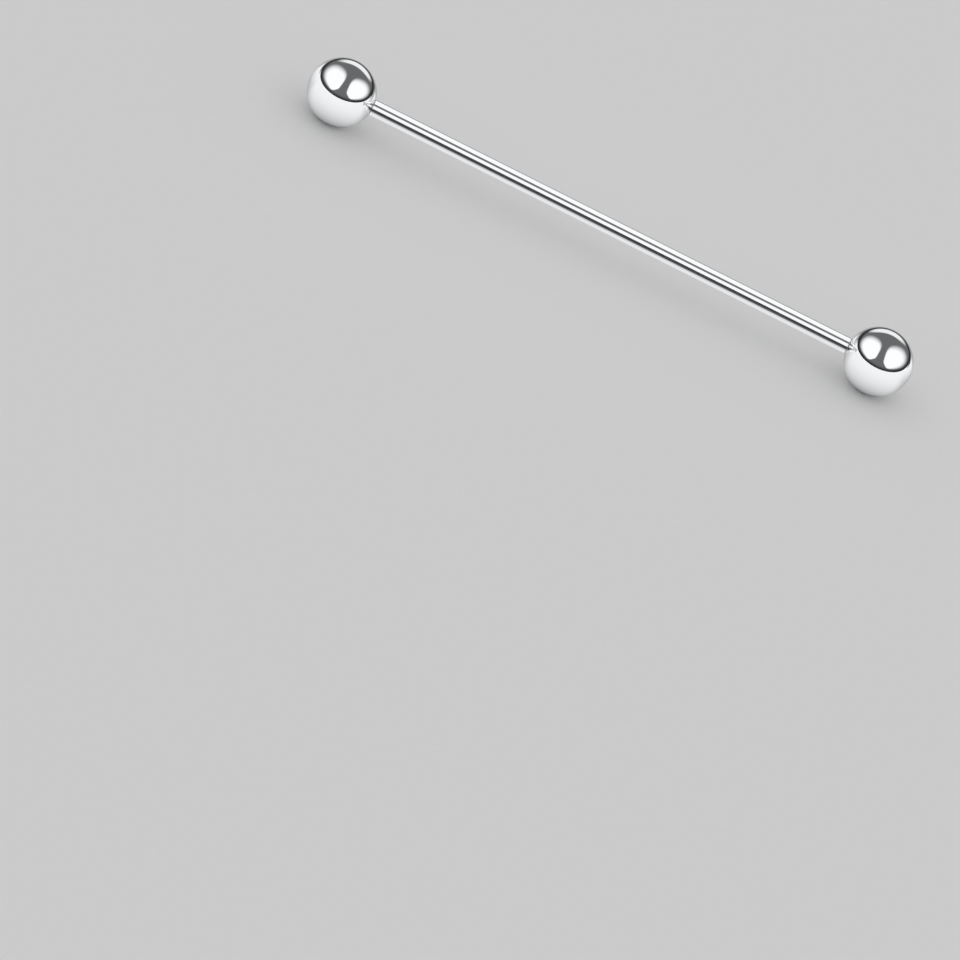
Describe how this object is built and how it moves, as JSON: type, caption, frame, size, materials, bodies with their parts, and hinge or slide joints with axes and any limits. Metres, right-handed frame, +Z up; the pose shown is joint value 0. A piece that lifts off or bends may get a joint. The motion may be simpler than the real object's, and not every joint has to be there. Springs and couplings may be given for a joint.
{
  "type": "industrial barbell",
  "caption": "Long straight polished steel bar with a threaded, removable ball at each end: body jewellery worn across the upper ear.",
  "frame": {"origin": "on the surface the barbell lies on, straight below the middle of the bar", "axes": "+X along the bar towards the right-hand ball, +Z up from the surface, +Y away from the picture's camera"},
  "size_m": [0.048, 0.005, 0.005],
  "materials": {
    "polished_bar": "316L stainless steel, centreless-ground and polished bright, not plated",
    "polished_ball": "316L stainless steel, mirror-polished, not plated"
  },
  "bodies": {
    "bar": {"bar": "polished_bar"},
    "ball_left": {"ball_left": "polished_ball"},
    "ball_right": {"ball_right": "polished_ball"}
  },
  "joints": [
    {"name": "ball_left_slide", "type": "slide", "parent": "bar", "child": "ball_left", "axis": [-1, 0, 0], "range_m": [0, 0.006]},
    {"name": "ball_right_slide", "type": "slide", "parent": "bar", "child": "ball_right", "axis": [1, 0, 0], "range_m": [0, 0.006]}
  ]
}
